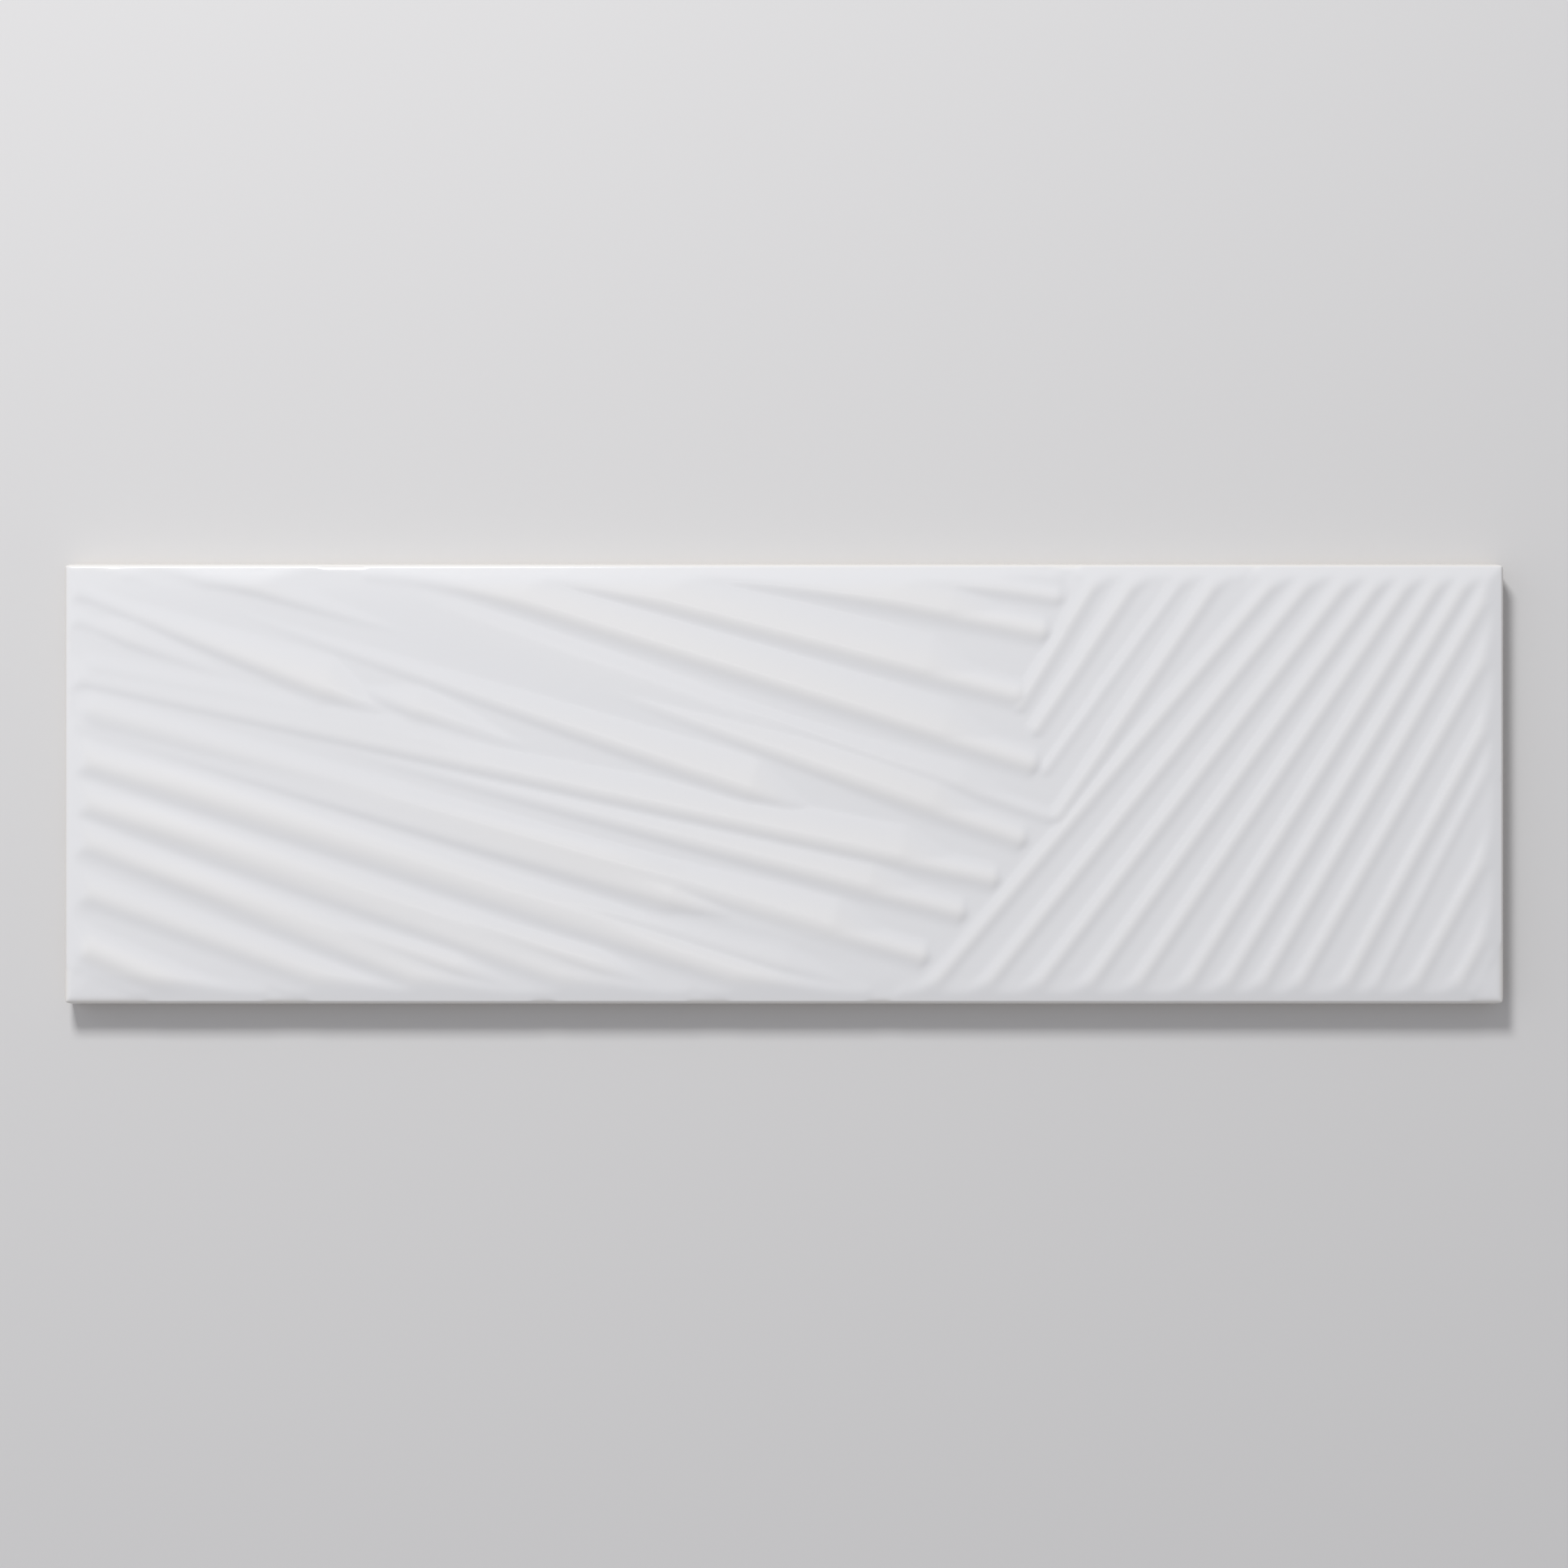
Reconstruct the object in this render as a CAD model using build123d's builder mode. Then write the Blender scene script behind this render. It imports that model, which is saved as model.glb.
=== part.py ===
from build123d import *
from collections import namedtuple
import os

# A glazed ceramic wall tile with a relief of straight raised ribs, pressed and fired as one piece.
# It lies face up: the origin is the middle of its back, +X runs along its length, +Z out of its face.
# All sizes are in millimetres, angles in degrees.

# The pressed body
TILE_LENGTH = 329.0
TILE_WIDTH = 100.5
FACE_HEIGHT = 8.6  # from the back to the bare face between the ribs
CORNER_RADIUS = 1.3  # in plan
EDGE_WIDTH = 6.0  # the face falls towards its edges over this width
EDGE_FALL = 0.45
EDGE_EASE = 60.0  # radius that eases the start of the fall
ARRIS_RADIUS = 1.6  # the round edge between the face and the sides
SIDE_BAND = 3.0  # upright part of the sides, under the face
SIDE_DRAFT = 3.0  # lean of the rest of the sides, inwards to the back

# The keyed back: long grooves that the adhesive grips
GROOVE_COUNT = 6
GROOVE_WIDTH = 8.0
GROOVE_PITCH = 14.0
GROOVE_DEPTH = 0.8
GROOVE_END_LAND = 9.0  # flat land left at each end of the back
GROOVE_DRAFT = 30.0

# The ribs' sections: breadths of the two flanks, height of the sharp peak, and the radii that round it
RibSection = namedtuple("RibSection", "upper lower peak crown_radius foot_radius")
FINE_RIB = RibSection(6.0, 2.0, 0.44, 4.0, 9.0)
STEP_RIB = RibSection(7.0, 2.6, 0.62, 4.0, 10.0)
LAP_RIB = RibSection(8.5, 3.2, 0.85, 5.0, 13.0)
WAVE_RIB = RibSection(5.0, 3.6, 0.72, 8.0, 13.0)
FLUTE_RIB = RibSection(2.7, 2.1, 0.57, 3.4, 9.0)
SLIM_RIB = RibSection(2.2, 1.7, 0.38, 3.0, 8.0)
RIB_TOE = 2.2  # flat run under the face beyond each foot
RIB_ROOT = 1.2  # depth that a rib is rooted in the body
RIB_SINK = 0.04  # a rib's feet lie this far under the face

# The ribs' ends
BLUNT_TIP = 2.4  # a blunt end sinks into the face over this length
FLANK_FADE = 22.0  # the upper flank narrows over this length before a blunt end
SOFT_TIP = 18.0  # a soft end sinks into the face over this length
RUN_OFF = 8.0  # a rib that runs off the tile goes on for this length
RIM_INSET = 0.6  # the relief ends this far inside the outline
RIM_FALL = 6.0  # and falls to the face over this width
RIM_EASE = 35.0  # radius that eases the start of that fall

# Each rib's run: start and stop, as percentages along the face and up it from its lower left corner.
# A rib that starts or stops past the outline runs off the tile there.
SHALLOW_RIBS = [  # the left field: full height from a blunt start, or from the edge
    ((69.0, 92.4), (54.5, 100.0), STEP_RIB),
    ((68.0, 84.5), (44.4, 100.0), LAP_RIB),
    ((66.3, 69.9), (31.7, 100.0), LAP_RIB),
    ((67.3, 54.4), (23.6, 100.0), LAP_RIB),
    ((-0.5, 57.5), (53.0, -0.6), WAVE_RIB),
    ((-0.5, 48.1), (40.5, -0.8), WAVE_RIB),
    ((-0.5, 39.6), (29.7, -0.8), WAVE_RIB),
    ((-0.5, 27.9), (23.6, -1.0), WAVE_RIB),
    ((-0.5, 16.1), (11.0, -0.2), WAVE_RIB),
]
FADING_RIBS = [  # ribs among them with a blunt start that sink along their whole run
    ((68.5, 42.4), (40.0, 75.0), FINE_RIB),
    ((66.5, 37.4), (33.0, 75.8), LAP_RIB),
    ((64.6, 28.4), (-30.0, 95.2), LAP_RIB),
    ((62.3, 20.8), (10.0, 65.0), LAP_RIB),
    ((59.7, 10.8), (14.0, 54.6), LAP_RIB),
]
MERGING_RIBS = [  # the same with a soft start, which merges with their neighbours
    ((50.0, 8.8), (20.0, 37.3), FINE_RIB),
    ((37.0, 8.3), (22.0, 24.0), FINE_RIB),
    ((27.0, 8.2), (11.0, 25.2), FINE_RIB),
    ((42.0, 23.8), (-6.0, 69.0), LAP_RIB),
    ((47.5, 48.6), (4.0, 97.2), LAP_RIB),
    ((18.0, 71.4), (-6.0, 102.0), LAP_RIB),
    ((24.5, 66.6), (34.0, 55.7), STEP_RIB),
    ((10.0, 97.7), (27.0, 80.3), STEP_RIB),
    ((4.5, 82.6), (13.5, 71.5), FINE_RIB),
]
STEEP_RIBS = [  # the right field, rising to the right
    ((66.3, 67.4), (72.5, 100.5), FLUTE_RIB),
    ((67.4, 62.0), (75.3, 100.5), FLUTE_RIB),
    ((68.1, 52.9), (78.6, 100.5), SLIM_RIB),
    ((68.9, 42.4), (81.0, 100.5), FLUTE_RIB),
    ((59.0, -1.0), (85.2, 100.5), FLUTE_RIB),
    ((62.8, -1.0), (87.6, 100.5), FLUTE_RIB),
    ((66.4, -1.0), (90.1, 100.5), FLUTE_RIB),
    ((70.0, -1.0), (92.3, 100.5), FLUTE_RIB),
    ((73.4, -1.0), (94.3, 100.5), FLUTE_RIB),
    ((77.0, -1.0), (96.3, 100.5), FLUTE_RIB),
    ((79.7, -1.0), (98.2, 100.5), FLUTE_RIB),
    ((82.2, -1.0), (100.1, 100.5), FLUTE_RIB),
    ((84.8, -1.0), (102.4, 100.5), FLUTE_RIB),
    ((88.1, -1.0), (104.8, 100.5), FLUTE_RIB),
    ((90.2, -1.0), (106.2, 100.5), SLIM_RIB),
    ((92.9, -1.0), (109.9, 100.5), FLUTE_RIB),
    ((95.9, -1.0), (112.5, 100.5), FLUTE_RIB),
]

UP = Vector(0, 0, 1)
FOOT_LEVEL = FACE_HEIGHT - RIB_SINK
RELIEF_TOP = FOOT_LEVEL + max(LAP_RIB.peak, WAVE_RIB.peak)


def face_point(along, up):
    """The point under a rib's peak at the level of its feet, at these percentages along and up the face."""
    return Vector((along / 100 - 0.5) * TILE_LENGTH, (up / 100 - 0.5) * TILE_WIDTH, FOOT_LEVEL)


def on_face(point):
    """Whether a point lies inside the tile's outline."""
    return abs(point.X) < TILE_LENGTH / 2 and abs(point.Y) < TILE_WIDTH / 2


def rib_outline(section):
    """A rib's section over its root, with the lower flank on the right."""
    left = -section.upper - RIB_TOE
    right = section.lower + RIB_TOE
    corners = [
        ((left, -RIB_ROOT), 0),
        ((left, 0), 0),
        ((-section.upper, 0), section.foot_radius),
        ((0, section.peak), section.crown_radius),
        ((section.lower, 0), section.foot_radius),
        ((right, 0), 0),
        ((right, -RIB_ROOT), 0),
    ]
    points, radii = zip(*corners)
    return FilletPolyline(*points, radius=radii, close=True)


def rib(start, stop, section, soft_start=False, sinks=False):
    """One rib, as the straight reaches that its section is drawn along."""
    heading = (stop - start).normalized()
    across = heading.cross(UP)
    lower_side = across if across.Y < 0 else -across
    fall = section.peak * UP
    narrow = section._replace(upper=section.lower)
    if not sinks:
        stop = stop + RUN_OFF * heading
    if soft_start:
        reaches = [(section, start, -SOFT_TIP * heading - fall)]
    elif on_face(start):
        tip, start = start, start + FLANK_FADE * heading
        reaches = [
            (section, start, tip - start - fall),
            (narrow, start, tip - start),
            (narrow, tip, -BLUNT_TIP * heading - fall),
        ]
    else:
        reaches = [(section, start, -RUN_OFF * heading)]
    reaches.append((section, start, stop - start - fall if sinks else stop - start))
    with BuildPart() as one_rib:
        for profile, point, reach in reaches:
            with BuildSketch(Plane(point, x_dir=lower_side, z_dir=lower_side.cross(UP))):
                with BuildLine():
                    rib_outline(profile)
                make_face()
            extrude(amount=reach.length, dir=reach)
    return one_rib.part


def cushion(length, width, plane, top, fall, fall_width, ease, edge_radius):
    """A slab whose top falls towards both ends of its length, and turns into them in a round edge."""
    end = length / 2
    crest = end - fall_width
    corners = [
        ((-end, 0), 0),
        ((-end, top - fall), edge_radius),
        ((-crest, top), ease),
        ((crest, top), ease),
        ((end, top - fall), edge_radius),
        ((end, 0), 0),
    ]
    points, radii = zip(*corners)
    with BuildPart() as slab:
        with BuildSketch(plane):
            with BuildLine():
                FilletPolyline(*points, radius=radii, close=True)
            make_face()
        extrude(amount=width / 2, both=True)
    return slab.part


ribs = [rib(face_point(*start), face_point(*stop), section)
        for start, stop, section in SHALLOW_RIBS + STEEP_RIBS]
ribs += [rib(face_point(*start), face_point(*stop), section, sinks=True)
         for start, stop, section in FADING_RIBS]
ribs += [rib(face_point(*start), face_point(*stop), section, soft_start=True, sinks=True)
         for start, stop, section in MERGING_RIBS]

RELIEF_LENGTH = TILE_LENGTH - 2 * RIM_INSET
RELIEF_WIDTH = TILE_WIDTH - 2 * RIM_INSET
relief_fall = (RELIEF_TOP, RELIEF_TOP - FOOT_LEVEL + EDGE_FALL, RIM_FALL, RIM_EASE, 0)
with BuildPart() as relief:
    add(ribs)
    add(cushion(RELIEF_LENGTH, RELIEF_WIDTH, Plane.XZ, *relief_fall), mode=Mode.INTERSECT)
    add(cushion(RELIEF_WIDTH, RELIEF_LENGTH, Plane.YZ, *relief_fall), mode=Mode.INTERSECT)

face_fall = (FACE_HEIGHT, EDGE_FALL, EDGE_WIDTH, EDGE_EASE, ARRIS_RADIUS)
with BuildPart() as wall_tile:
    with BuildSketch(Plane.XY.offset(FACE_HEIGHT - SIDE_BAND)) as outline:
        RectangleRounded(TILE_LENGTH, TILE_WIDTH, CORNER_RADIUS)
    extrude(amount=SIDE_BAND)
    extrude(outline.sketch, amount=SIDE_BAND - FACE_HEIGHT, taper=SIDE_DRAFT)
    add(cushion(TILE_LENGTH, TILE_WIDTH, Plane.XZ, *face_fall), mode=Mode.INTERSECT)
    add(cushion(TILE_WIDTH, TILE_LENGTH, Plane.YZ, *face_fall), mode=Mode.INTERSECT)
    with BuildSketch():
        with GridLocations(0, GROOVE_PITCH, 1, GROOVE_COUNT):
            SlotOverall(TILE_LENGTH - 2 * GROOVE_END_LAND, GROOVE_WIDTH)
    extrude(amount=GROOVE_DEPTH, taper=GROOVE_DRAFT, mode=Mode.SUBTRACT)
    add(relief.part)

wall_tile.part.label = "wall_tile"
os.makedirs("parts", exist_ok=True)
export_step(wall_tile.part, "parts/wall_tile.step")
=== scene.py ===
"""A glazed ceramic wall tile with a relief of straight ribs, laid face up on a pale studio floor.

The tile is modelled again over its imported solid. A fine sheet is laid over the pressed face, drawn down over
the sides and closed at the back. It is softened as a fired glaze softens it, swells a little where the glaze
has gathered between the ribs, and is grooved on its back as the solid is.
"""

import logging
import math
from dataclasses import dataclass, field
from enum import Enum

import bpy
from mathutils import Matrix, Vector


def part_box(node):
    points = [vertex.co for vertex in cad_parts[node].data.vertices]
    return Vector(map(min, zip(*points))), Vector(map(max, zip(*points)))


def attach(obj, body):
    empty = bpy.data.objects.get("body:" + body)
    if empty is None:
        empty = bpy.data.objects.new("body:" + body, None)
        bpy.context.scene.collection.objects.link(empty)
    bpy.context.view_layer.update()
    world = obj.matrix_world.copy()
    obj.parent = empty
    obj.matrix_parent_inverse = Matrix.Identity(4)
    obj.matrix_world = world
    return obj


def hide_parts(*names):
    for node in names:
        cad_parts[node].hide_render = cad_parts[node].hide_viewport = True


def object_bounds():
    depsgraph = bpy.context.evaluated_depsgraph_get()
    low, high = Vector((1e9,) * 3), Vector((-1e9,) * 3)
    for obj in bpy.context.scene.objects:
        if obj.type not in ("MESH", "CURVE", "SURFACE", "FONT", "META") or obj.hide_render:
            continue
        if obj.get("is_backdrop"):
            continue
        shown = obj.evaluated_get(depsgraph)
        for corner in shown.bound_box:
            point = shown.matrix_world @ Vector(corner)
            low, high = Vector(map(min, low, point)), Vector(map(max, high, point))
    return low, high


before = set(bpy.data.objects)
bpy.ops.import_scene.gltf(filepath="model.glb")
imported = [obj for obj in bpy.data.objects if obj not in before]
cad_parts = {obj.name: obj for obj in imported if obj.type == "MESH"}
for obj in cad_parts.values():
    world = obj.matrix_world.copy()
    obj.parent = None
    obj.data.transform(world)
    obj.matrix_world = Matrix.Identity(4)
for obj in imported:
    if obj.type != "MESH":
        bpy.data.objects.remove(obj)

MM = 0.001
TILE_NODE = "wall_tile"
TILE_BODY = "root"

Colour = tuple[float, float, float, float]
Triple = tuple[float, float, float]
Pair = tuple[float, float]

log = logging.getLogger("wall_tile")


class Finish(Enum):
    """The tile's finishes, in the order of its material slots."""

    GLAZE = 0
    BISCUIT = 1


class Band(Enum):
    """Named groups of the tile's points that a modifier works on."""

    GLAZED = "glazed"
    SWELL = "swell"
    RIM = "rim"


def from_srgb(red: int, green: int, blue: int) -> Colour:
    """Turn a colour as seen on a screen into a scene colour.

    Args:
        red: Red, 0 to 255.
        green: Green, 0 to 255.
        blue: Blue, 0 to 255.

    Returns:
        The linear colour with full alpha.
    """
    linear = []
    for level in (red / 255, green / 255, blue / 255):
        linear.append(level / 12.92 if level <= 0.04045 else ((level + 0.055) / 1.055) ** 2.4)
    return (*linear, 1.0)


def ease(share: float) -> float:
    """Turn a straight run from 0 to 1 into one with soft ends, held at 0 and 1 beyond them.

    Args:
        share: How far along the run.

    Returns:
        The eased share, 0 to 1.
    """
    held = min(max(share, 0.0), 1.0)
    return held * held * (3.0 - 2.0 * held)


def face_place(percent: Pair, size: Vector) -> Vector:
    """Find a place on the face, in plan, from the tile's middle.

    Args:
        percent: Percent along the face and up it, from its lower left corner.
        size: The tile's own size.

    Returns:
        The place along and across the tile.
    """
    along, up = percent
    return Vector(((along / 100 - 0.5) * size.x, (up / 100 - 0.5) * size.y))


def deselect_all() -> None:
    """Leave object mode clean, with nothing selected."""
    if bpy.context.object is not None and bpy.context.object.mode != "OBJECT":
        bpy.ops.object.mode_set(mode="OBJECT")
    bpy.ops.object.select_all(action="DESELECT")


def make_active(piece: bpy.types.Object) -> None:
    """Select one object alone and make it the active one.

    Args:
        piece: The object that the next operators work on.
    """
    deselect_all()
    piece.select_set(True)
    bpy.context.view_layer.objects.active = piece


def apply_modifiers(piece: bpy.types.Object) -> None:
    """Apply every modifier of an object, in order.

    Args:
        piece: The object, which becomes the active one.
    """
    make_active(piece)
    for name in [modifier.name for modifier in piece.modifiers]:
        bpy.ops.object.modifier_apply(modifier=name)


@dataclass
class Shader:
    """A material with one Principled shader, and short ways to add the nodes that feed it."""

    name: str
    material: bpy.types.Material = field(init=False)
    tree: bpy.types.NodeTree = field(init=False)
    surface: bpy.types.Node = field(init=False)

    def __post_init__(self) -> None:
        """Make the material."""
        self.material = bpy.data.materials.new(self.name)
        self.material.use_nodes = True
        self.tree = self.material.node_tree
        self.surface = next(n for n in self.tree.nodes if n.type == "BSDF_PRINCIPLED")

    def node(self, kind: str, **settings: object) -> bpy.types.Node:
        """Add a node.

        Args:
            kind: The node's type, such as ShaderNodeTexNoise.
            **settings: Attributes of the node.

        Returns:
            The new node.
        """
        made = self.tree.nodes.new(kind)
        for key, value in settings.items():
            setattr(made, key, value)
        return made

    def link(self, source: bpy.types.NodeSocket, target: bpy.types.NodeSocket) -> None:
        """Join two sockets."""
        self.tree.links.new(source, target)

    def place(self) -> bpy.types.NodeSocket:
        """Give the point being shaded, in the tile's own frame."""
        return self.node("ShaderNodeTexCoord").outputs["Object"]

    def height(self) -> bpy.types.NodeSocket:
        """Read off how high the point being shaded lies.

        Returns:
            Its height above the tile's back.
        """
        split = self.node("ShaderNodeSeparateXYZ")
        self.link(self.place(), split.inputs[0])
        return split.outputs["Z"]

    def noise(self, scale: float, detail: float) -> bpy.types.NodeSocket:
        """Add a cloudy pattern.

        Args:
            scale: Clouds to the metre.
            detail: Octaves of finer clouds.

        Returns:
            The pattern's value, about 0 to 1.
        """
        clouds = self.node("ShaderNodeTexNoise")
        clouds.inputs["Scale"].default_value = scale
        clouds.inputs["Detail"].default_value = detail
        self.link(self.place(), clouds.inputs["Vector"])
        return clouds.outputs["Fac"]

    def spread(
        self, value: bpy.types.NodeSocket, low: float, high: float, to_low: float = 0.0, to_high: float = 1.0
    ) -> bpy.types.NodeSocket:
        """Map a range of a value smoothly onto another range.

        Args:
            value: The value.
            low: Lower end of the range that counts.
            high: Upper end of the range that counts.
            to_low: What the lower end becomes.
            to_high: What the upper end becomes.

        Returns:
            The mapped value.
        """
        ramp = self.node("ShaderNodeMapRange", interpolation_type="SMOOTHSTEP")
        for key, number in zip(("From Min", "From Max", "To Min", "To Max"), (low, high, to_low, to_high)):
            ramp.inputs[key].default_value = number
        self.link(value, ramp.inputs["Value"])
        return ramp.outputs["Result"]

    def add_share(
        self, first: bpy.types.NodeSocket, second: bpy.types.NodeSocket, share: float
    ) -> bpy.types.NodeSocket:
        """Add a share of a second value to a first one.

        Args:
            first: The first value.
            second: The second value.
            share: Factor on the second value.

        Returns:
            The sum.
        """
        total = self.node("ShaderNodeMath", operation="MULTIPLY_ADD")
        self.link(second, total.inputs[0])
        total.inputs[1].default_value = share
        self.link(first, total.inputs[2])
        return total.outputs["Value"]

    def blend(
        self,
        factor: bpy.types.NodeSocket,
        first: Colour | bpy.types.NodeSocket,
        second: Colour | bpy.types.NodeSocket,
    ) -> bpy.types.NodeSocket:
        """Blend two colours.

        Args:
            factor: 0 for the first colour, 1 for the second.
            first: A colour, or the socket of one.
            second: A colour, or the socket of one.

        Returns:
            The blended colour.
        """
        mix = self.node("ShaderNodeMix", data_type="RGBA")
        self.link(factor, mix.inputs["Factor"])
        for name, colour in (("A", first), ("B", second)):
            socket = next(s for s in mix.inputs if s.name == name and s.type == "RGBA")
            if isinstance(colour, bpy.types.NodeSocket):
                self.link(colour, socket)
            else:
                socket.default_value = colour
        return next(s for s in mix.outputs if s.type == "RGBA")

    def bump(self, height: bpy.types.NodeSocket, depth: float) -> None:
        """Roughen the surface.

        Args:
            height: The relief, about 0 to 1.
            depth: Its depth in metres.
        """
        relief = self.node("ShaderNodeBump")
        relief.inputs["Strength"].default_value = 1.0
        relief.inputs["Distance"].default_value = depth
        self.link(height, relief.inputs["Height"])
        self.link(relief.outputs["Normal"], self.surface.inputs["Normal"])


@dataclass(frozen=True)
class Biscuit:
    """Bare fired clay: cream, dry and finely pitted."""

    body: Colour = from_srgb(214, 201, 182)
    stain: Colour = from_srgb(196, 180, 158)
    stain_scale: float = 60.0  # stains to the metre
    stain_range: Pair = (0.35, 0.7)  # of the cloudy pattern
    roughness: float = 0.9
    specular: float = 0.25
    pit_scale: float = 2600.0  # pits to the metre
    pit_depth: float = 0.12 * MM

    def material(self) -> bpy.types.Material:
        """Make the bare clay's material.

        Returns:
            The material.
        """
        shader = Shader("biscuit_clay")
        surface = shader.surface
        surface.inputs["Roughness"].default_value = self.roughness
        surface.inputs["Specular IOR Level"].default_value = self.specular
        stains = shader.spread(shader.noise(self.stain_scale, 3.0), *self.stain_range)
        shader.link(shader.blend(stains, self.body, self.stain), surface.inputs["Base Color"])
        shader.bump(shader.noise(self.pit_scale, 4.0), self.pit_depth)
        return shader.material


@dataclass(frozen=True)
class Glaze:
    """White gloss glaze: its own cool white on the face between the ribs, painted lighter and more neutral up
    the ribs as painted light on their crowns, and warmer where it breaks over an edge.
    """

    # The first tone is the glaze's own cool white on the face between the ribs; the second is painted light, a
    # lighter tone blended in up the ribs to their crowns.
    face_tone: Colour = from_srgb(223, 224, 227)
    lit_crown: Colour = from_srgb(226, 226, 227)
    broken: Colour = from_srgb(223, 221, 218)
    break_range: Pair = (1.0 * MM, 0.3 * MM)  # fully broken and not yet broken, below the bare face
    roughness: float = 0.155
    ripple_scale: float = 260.0  # ripples to the metre
    ripple_depth: float = 0.03 * MM
    clay: Biscuit = Biscuit()
    line_height: float = 2.2 * MM  # the glaze ends about here on the sides
    line_waver: float = 1.6 * MM
    line_scale: float = 70.0  # waves of that line to the metre
    line_edge: float = 0.25 * MM  # the glaze thins out over this height

    def material(self, bare_face: float, crest: float) -> bpy.types.Material:
        """Make the glaze's material.

        Args:
            bare_face: Height of the face between the ribs, in metres.
            crest: Height of the highest rib, in metres.

        Returns:
            The material.
        """
        shader = Shader("white_glaze")
        surface = shader.surface
        height = shader.height()
        # Painted light: the tone is blended lighter with height, from the bare face up to the rib crowns.
        crown_light_share = shader.spread(height, bare_face, crest)
        tone = shader.blend(crown_light_share, self.face_tone, self.lit_crown)
        full, none = self.break_range
        arris = shader.spread(height, bare_face - full, bare_face - none, 1.0, 0.0)
        tone = shader.blend(arris, tone, self.broken)
        wavered = shader.add_share(height, shader.noise(self.line_scale, 2.0), -self.line_waver)
        line = self.line_height - self.line_waver / 2
        glazed = shader.spread(wavered, line - self.line_edge, line)
        shader.link(shader.blend(glazed, self.clay.body, tone), surface.inputs["Base Color"])
        gloss = shader.spread(glazed, 0.0, 1.0, self.clay.roughness, self.roughness)
        shader.link(gloss, surface.inputs["Roughness"])
        shader.bump(shader.noise(self.ripple_scale, 2.0), self.ripple_depth)
        return shader.material


@dataclass(frozen=True)
class Swell:
    """A low straight ridge where the glaze has gathered on the face, which fades in and out."""

    start: Pair  # percent along the face and up it
    stop: Pair
    height: float
    upper: float  # breadth of the flank towards the upper edge
    lower: float
    fade: float = 26.0 * MM

    def rise(self, place: Vector, size: Vector) -> float:
        """Give the swell's height at a place on the face.

        Args:
            place: The place along and across the tile, from its middle.
            size: The tile's own size.

        Returns:
            The height there, in metres.
        """
        start = face_place(self.start, size)
        run = face_place(self.stop, size) - start
        heading = run.normalized()
        reach = heading.dot(place - start)
        aside = heading.cross(place - start)
        flank = self.upper if aside > 0.0 else self.lower
        ends = ease(reach / self.fade) * ease((run.length - reach) / self.fade)
        return self.height * ends * ease(1.0 - abs(aside) / flank)


# The glaze has gathered in low ridges between the ribs of the left field.
SWELLS = (
    Swell((-8.0, 76.2), (44.0, 26.5), 0.36 * MM, 5.0 * MM, 4.5 * MM),
    Swell((2.0, 57.2), (43.0, 14.1), 0.28 * MM, 4.5 * MM, 4.0 * MM),
    Swell((1.0, 48.0), (42.0, 3.6), 0.32 * MM, 4.5 * MM, 4.0 * MM),
    Swell((3.0, 35.2), (32.0, 3.3), 0.24 * MM, 4.5 * MM, 4.0 * MM),
    Swell((-6.0, 22.2), (12.0, -3.8), 0.34 * MM, 5.0 * MM, 6.0 * MM),
    Swell((21.0, 96.3), (63.0, 45.9), 0.24 * MM, 5.0 * MM, 14.0 * MM),
    Swell((-6.0, 81.9), (33.0, 55.8), 0.17 * MM, 4.0 * MM, 4.0 * MM),
    Swell((39.0, 26.2), (59.0, 8.3), 0.15 * MM, 4.0 * MM, 4.0 * MM),
    Swell((36.0, 20.0), (55.0, 1.0), 0.17 * MM, 4.0 * MM, 6.0 * MM),
)


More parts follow.
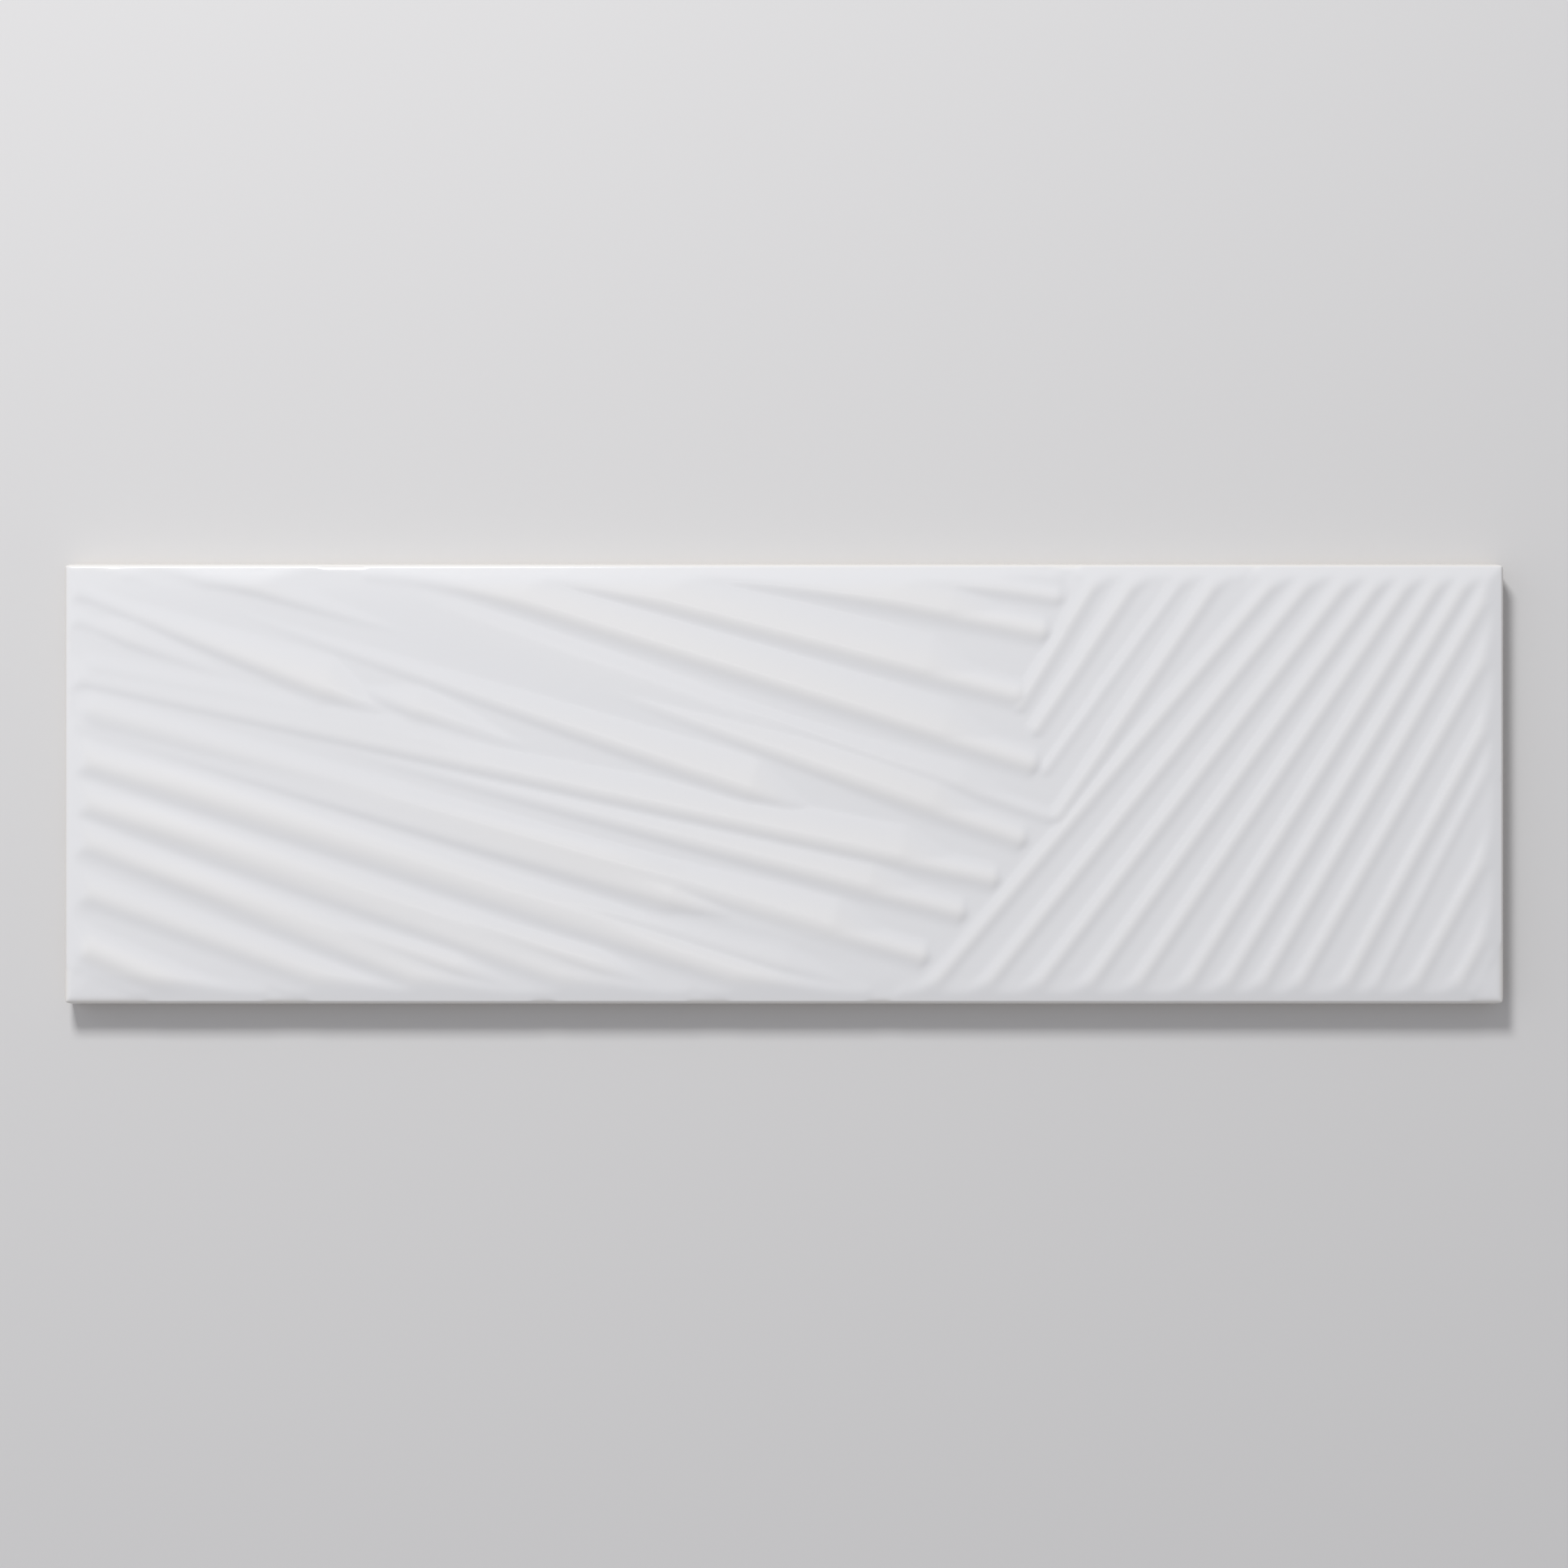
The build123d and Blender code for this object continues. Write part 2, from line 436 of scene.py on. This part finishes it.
@dataclass
class WallTile:
    """The tile: one fired piece, glazed on its face and sides and bare on its back."""

    cell: float = 0.65 * MM  # spacing of the face's points
    rib_height: float = 0.744 * MM  # highest crown above the bare face
    arris_steps: int = 7  # fine steps down over the arris
    arris_step: float = 0.3 * MM
    side_steps: int = 7  # even steps from there to the back
    smoothing: float = 0.5  # of each round of softening
    soften_rounds: int = 4
    rim_width: float = 7.0 * MM  # the glaze evens the relief over this width
    rim_land: float = 1.8 * MM  # but leaves the arris as pressed
    rim_gain: float = 1.5  # so that it is full over the outer third
    rim_rounds: int = 5
    swells: tuple[Swell, ...] = SWELLS
    swell_limit: float = 0.5 * MM
    warp_size: float = 45.0 * MM
    warp_depth: float = 0.10 * MM
    weld: float = 0.001 * MM  # points of the solid nearer than this are one
    groove_margin: float = 6.0 * MM  # no groove comes nearer to the sides
    groove_clear: float = 2.0 * MM  # how far a groove's cutter hangs below the back
    back_slack: float = 0.01 * MM  # faces this close to the back's plane are its lands
    down_tilt: float = -0.3  # a face points down where its normal's height is less
    crease: float = math.radians(35)
    glaze: Glaze = Glaze()
    biscuit: Biscuit = Biscuit()
    low: Vector = field(init=False)
    high: Vector = field(init=False)
    bare_face: float = field(init=False)
    arris_foot: float = field(init=False)

    def __post_init__(self) -> None:
        """Take the tile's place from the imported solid."""
        self.low, self.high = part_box(TILE_NODE)
        self.bare_face = self.high.z - self.rib_height
        self.arris_foot = self.bare_face - self.arris_steps * self.arris_step

    def build(self) -> bpy.types.Object:
        """Model the tile, finish it and put it on its body.

        Returns:
            The finished tile.
        """
        solid = self.pressed_solid()
        tile = self.laid_sheet()
        self.draw_over_sides(tile)
        self.mark_bands(tile)
        self.settle(tile, solid)
        cutter = self.groove_cutter(solid)
        self.cut_grooves(tile, cutter)
        self.dress(tile)
        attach(tile, TILE_BODY)
        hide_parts(TILE_NODE)
        return tile

    def pressed_solid(self) -> bpy.types.Object:
        """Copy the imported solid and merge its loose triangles.

        Returns:
            The copy, which only guides the modelling.
        """
        make_active(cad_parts[TILE_NODE])
        bpy.ops.object.duplicate()
        solid = bpy.context.object
        solid.name = "pressed_solid"
        bpy.ops.object.mode_set(mode="EDIT")
        bpy.ops.mesh.select_all(action="SELECT")
        bpy.ops.mesh.remove_doubles(threshold=self.weld)
        bpy.ops.object.mode_set(mode="OBJECT")
        return solid

    def laid_sheet(self) -> bpy.types.Object:
        """Lay a fine flat sheet at the height of the bare face.

        Returns:
            The sheet, as large as the tile.
        """
        size = self.high - self.low
        deselect_all()
        bpy.ops.mesh.primitive_grid_add(
            x_subdivisions=round(size.x / self.cell),
            y_subdivisions=round(size.y / self.cell),
            size=1.0,
            location=(0.0, 0.0, self.bare_face),
        )
        tile = bpy.context.object
        tile.name = tile.data.name = "glazed_tile"
        bpy.ops.transform.resize(value=(size.x, size.y, 1.0))
        bpy.ops.object.transform_apply(location=True, rotation=True, scale=True)
        return tile

    def draw_over_sides(self, tile: bpy.types.Object) -> None:
        """Draw the sheet's rim down over the sides and close the back.

        Args:
            tile: The sheet.
        """
        side_step = (self.arris_foot - self.low.z) / self.side_steps
        make_active(tile)
        bpy.ops.object.mode_set(mode="EDIT")
        bpy.ops.mesh.select_all(action="SELECT")
        bpy.ops.mesh.region_to_loop()
        for drop in [self.arris_step] * self.arris_steps + [side_step] * self.side_steps:
            bpy.ops.mesh.extrude_region_move(TRANSFORM_OT_translate={"value": (0.0, 0.0, -drop)})
        bpy.ops.mesh.edge_face_add()
        bpy.ops.mesh.select_all(action="SELECT")
        bpy.ops.mesh.normals_make_consistent(inside=False)
        bpy.ops.object.mode_set(mode="OBJECT")

    def mark_bands(self, tile: bpy.types.Object) -> None:
        """Name the points that the glaze softens, those where it gathers and those of the rim that it evens.

        Args:
            tile: The tile.
        """
        glazed = tile.vertex_groups.new(name=Band.GLAZED.value)
        swell = tile.vertex_groups.new(name=Band.SWELL.value)
        rim = tile.vertex_groups.new(name=Band.RIM.value)
        size = self.high - self.low
        for vertex in tile.data.vertices:
            if vertex.co.z < self.arris_foot - self.arris_step / 2:
                continue
            glazed.add([vertex.index], 1.0, "REPLACE")
            inside = min(self.high.x - abs(vertex.co.x), self.high.y - abs(vertex.co.y))
            if inside <= self.rim_land:
                continue
            depth = (inside - self.rim_land) / (self.rim_width - self.rim_land)
            gathered = ease(depth) * sum(one.rise(vertex.co.xy, size) for one in self.swells)
            swell.add([vertex.index], min(gathered / self.swell_limit, 1.0), "REPLACE")
            if depth < 1.0:
                rim.add([vertex.index], min(self.rim_gain * (1.0 - depth), 1.0), "REPLACE")

    def settle(self, tile: bpy.types.Object, solid: bpy.types.Object) -> None:
        """Settle the sheet on the pressed solid and soften it as the glaze does.

        Args:
            tile: The tile.
            solid: The pressed solid.
        """
        wrap = tile.modifiers.new("lie_on_solid", "SHRINKWRAP")
        wrap.target = solid
        wrap.wrap_method = "NEAREST_SURFACEPOINT"
        soften = tile.modifiers.new("soften", "SMOOTH")
        soften.vertex_group = Band.GLAZED.value
        soften.factor = self.smoothing
        soften.iterations = self.soften_rounds
        gather = tile.modifiers.new("gather", "DISPLACE")
        gather.vertex_group = Band.SWELL.value
        gather.direction = "Z"
        gather.mid_level = 0.0
        gather.strength = self.swell_limit
        even = tile.modifiers.new("even_rim", "SMOOTH")
        even.vertex_group = Band.RIM.value
        even.factor = self.smoothing
        even.iterations = self.rim_rounds
        even.use_x = even.use_y = False
        clouds = bpy.data.textures.new("kiln_warp", "CLOUDS")
        clouds.noise_scale = self.warp_size
        warp = tile.modifiers.new("kiln_warp", "DISPLACE")
        warp.vertex_group = Band.GLAZED.value
        warp.texture = clouds
        warp.direction = "Z"
        warp.mid_level = 1.0  # the warp only sinks, so the tile stays inside its box
        warp.strength = self.warp_depth
        apply_modifiers(tile)

    def groove_cutter(self, solid: bpy.types.Object) -> bpy.types.Object:
        """Turn the pressed solid into a cutter for the grooves of its back.

        Args:
            solid: The pressed solid, of which only the grooves' own faces are kept.

        Returns:
            The cutter, one closed plug in each groove.
        """
        make_active(solid)
        bpy.ops.object.mode_set(mode="EDIT")
        bpy.ops.mesh.select_all(action="DESELECT")
        bpy.ops.object.mode_set(mode="OBJECT")
        inner_x, inner_y = self.high.x - self.groove_margin, self.high.y - self.groove_margin
        for face in solid.data.polygons:
            corners = [solid.data.vertices[i].co for i in face.vertices]
            inside = all(abs(corner.x) < inner_x and abs(corner.y) < inner_y for corner in corners)
            raised = face.center.z > self.low.z + self.back_slack
            face.select = not (inside and raised and face.normal.z < self.down_tilt)
        bpy.ops.object.mode_set(mode="EDIT")
        bpy.ops.mesh.delete(type="FACE")
        bpy.ops.mesh.select_all(action="SELECT")
        bpy.ops.mesh.extrude_region_move(TRANSFORM_OT_translate={"value": (0.0, 0.0, -self.groove_clear)})
        bpy.ops.mesh.select_all(action="SELECT")
        bpy.ops.mesh.normals_make_consistent(inside=False)
        bpy.ops.object.mode_set(mode="OBJECT")
        return solid

    def cut_grooves(self, tile: bpy.types.Object, cutter: bpy.types.Object) -> None:
        """Cut the grooves into the tile's back, and take the cutter away.

        Args:
            tile: The tile.
            cutter: The grooves' plugs.
        """
        cut = tile.modifiers.new("grooves", "BOOLEAN")
        cut.operation = "DIFFERENCE"
        cut.solver = "EXACT"
        cut.object = cutter
        apply_modifiers(tile)
        bpy.data.objects.remove(cutter)

    def dress(self, tile: bpy.types.Object) -> None:
        """Give the face and sides their glaze and the back its bare clay.

        Args:
            tile: The tile.
        """
        tile.data.materials.clear()
        tile.data.materials.append(self.glaze.material(self.bare_face, self.high.z))
        tile.data.materials.append(self.biscuit.material())
        make_active(tile)
        bpy.ops.object.shade_smooth_by_angle(angle=self.crease)
        for face in tile.data.polygons:
            bare = face.normal.z < self.down_tilt
            face.material_index = (Finish.BISCUIT if bare else Finish.GLAZE).value
            face.use_smooth = not bare
        tile.vertex_groups.clear()


@dataclass
class Studio:
    """A pale floor, soft light from above the tile's upper edge and a camera that looks straight down."""

    floor_colour: Colour = from_srgb(210, 210, 211)
    floor_roughness: float = 0.9
    floor_specular: float = 0.1
    floor_size: float = 6.0
    key_power: float = 9.9
    key_tint: Triple = (1.0, 0.995, 0.985)
    key_size: Pair = (0.26, 0.26)
    key_distance: float = 1.2
    key_lift: float = math.radians(46)  # above the floor
    key_turn: float = math.radians(18)  # left of the tile's upper edge
    strip_power: float = 0.09
    strip_size: Pair = (0.30, 0.08)
    strip_place: Triple = (-0.02, 0.19, 1.5)
    fill_power: float = 3.2
    fill_size: Pair = (1.6, 1.6)
    fill_place: Triple = (-1.3, 0.3, 0.9)
    ambient: float = 0.43
    ambient_tint: Triple = (0.99, 0.98, 1.0)
    lens: float = 90.0
    sensor: float = 36.0
    tile_share: float = 0.92  # of the picture's width

    def build(self, low: Vector, high: Vector) -> None:
        """Set up the studio round the tile.

        Args:
            low: The object's lowest corner.
            high: The object's highest corner.
        """
        self.lay_floor(low.z)
        self.hang_lights()
        self.set_world()
        self.set_camera(low, high)
        bpy.context.scene.view_settings.view_transform = "Standard"

    def lay_floor(self, level: float) -> None:
        """Lay the floor.

        Args:
            level: Its height.
        """
        deselect_all()
        bpy.ops.mesh.primitive_plane_add(size=self.floor_size, location=(0.0, 0.0, level))
        floor = bpy.context.object
        floor.name = "floor"
        shader = Shader("pale_floor")
        shader.surface.inputs["Base Color"].default_value = self.floor_colour
        shader.surface.inputs["Roughness"].default_value = self.floor_roughness
        shader.surface.inputs["Specular IOR Level"].default_value = self.floor_specular
        floor.data.materials.append(shader.material)
        floor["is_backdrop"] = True

    def hang_lamp(self, name: str, place: Vector, size: Pair, power: float, tint: Triple) -> None:
        """Hang one soft lamp that points at the tile.

        Args:
            name: The lamp's name.
            place: Where it hangs.
            size: Its two sides, in metres.
            power: In watts.
            tint: Its colour.
        """
        deselect_all()
        bpy.ops.object.light_add(type="AREA", location=place)
        lamp = bpy.context.object
        lamp.name = name
        lamp.data.shape = "RECTANGLE"
        lamp.data.size, lamp.data.size_y = size
        lamp.data.energy = power
        lamp.data.color = tint
        lamp.rotation_euler = (-place).to_track_quat("-Z", "Y").to_euler()

    def hang_lights(self) -> None:
        """Hang the key light above the upper edge, a faint strip overhead and a wide fill on the left."""
        flat = self.key_distance * math.cos(self.key_lift)
        rise = self.key_distance * math.sin(self.key_lift)
        key_place = Vector((-flat * math.sin(self.key_turn), flat * math.cos(self.key_turn), rise))
        self.hang_lamp("key", key_place, self.key_size, self.key_power, self.key_tint)
        strip_place = Vector(self.strip_place)
        self.hang_lamp("strip", strip_place, self.strip_size, self.strip_power, self.key_tint)
        fill_place = Vector(self.fill_place)
        self.hang_lamp("fill", fill_place, self.fill_size, self.fill_power, self.ambient_tint)

    def set_world(self) -> None:
        """Light everything evenly with a pale surround."""
        world = bpy.data.worlds.new("surround")
        world.use_nodes = True
        background = world.node_tree.nodes["Background"]
        background.inputs["Color"].default_value = (*self.ambient_tint, 1.0)
        background.inputs["Strength"].default_value = self.ambient
        bpy.context.scene.world = world

    def set_camera(self, low: Vector, high: Vector) -> None:
        """Look straight down on the face, with the tile's upper edge up.

        Args:
            low: The object's lowest corner.
            high: The object's highest corner.
        """
        centre = (low + high) / 2
        width = (high.x - low.x) / self.tile_share
        distance = width / self.sensor * self.lens
        deselect_all()
        place = (centre.x, centre.y, high.z + distance)
        bpy.ops.object.camera_add(location=place, rotation=(0.0, 0.0, 0.0))
        camera = bpy.context.object
        camera.name = "camera"
        camera.data.lens = self.lens
        camera.data.sensor_width = self.sensor
        bpy.context.scene.camera = camera


def main() -> None:
    """Build the tile and the studio, and report each piece."""
    logging.basicConfig(level=logging.INFO, format="%(name)s: %(message)s")
    solid_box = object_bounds()
    tile = WallTile().build()
    log.info("%s: %d faces", tile.name, len(tile.data.polygons))
    Studio().build(*solid_box)
    log.info("studio: floor, lamps and camera")


if __name__ == "__main__":
    main()
